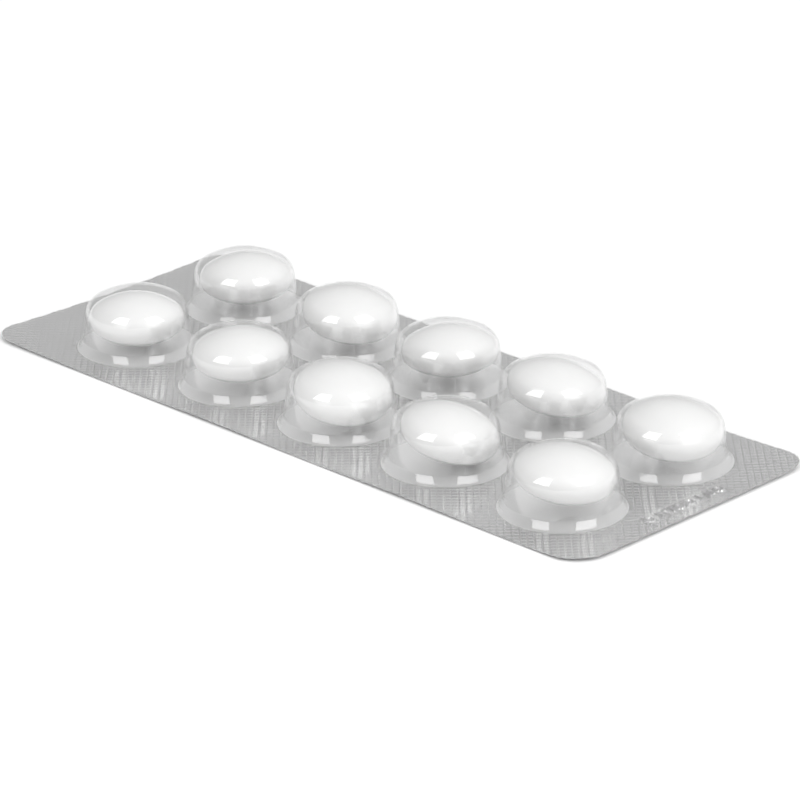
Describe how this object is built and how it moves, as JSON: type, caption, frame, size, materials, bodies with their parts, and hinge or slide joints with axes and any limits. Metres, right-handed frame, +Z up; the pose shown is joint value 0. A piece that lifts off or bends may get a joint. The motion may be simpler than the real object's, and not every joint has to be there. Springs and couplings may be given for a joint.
{
  "type": "blister pack of tablets",
  "caption": "Flat blister pack of round white tablets: a clear thermoformed film with domed pockets, a knurled aluminium lidding foil, and a loose tablet in each pocket.",
  "frame": {"origin": "middle of the pack's outline, on the underside of the lidding foil", "axes": "+X along the pack's length, +Y across it, +Z up through the pockets"},
  "size_m": [0.11, 0.044, 0.0084],
  "materials": {
    "clear_film": "clear gloss, thermoformed PVC",
    "foil": "satin, rolled, with a fine heat-seal knurl",
    "tablet": "polished white film coat over a pressed core"
  },
  "bodies": {
    "root": {"forming_film": "clear_film", "lidding_foil": "foil", "tablet_near_1": "tablet", "tablet_near_2": "tablet", "tablet_near_3": "tablet", "tablet_near_4": "tablet", "tablet_near_5": "tablet", "tablet_far_1": "tablet", "tablet_far_2": "tablet", "tablet_far_3": "tablet", "tablet_far_4": "tablet", "tablet_far_5": "tablet"}
  },
  "joints": []
}
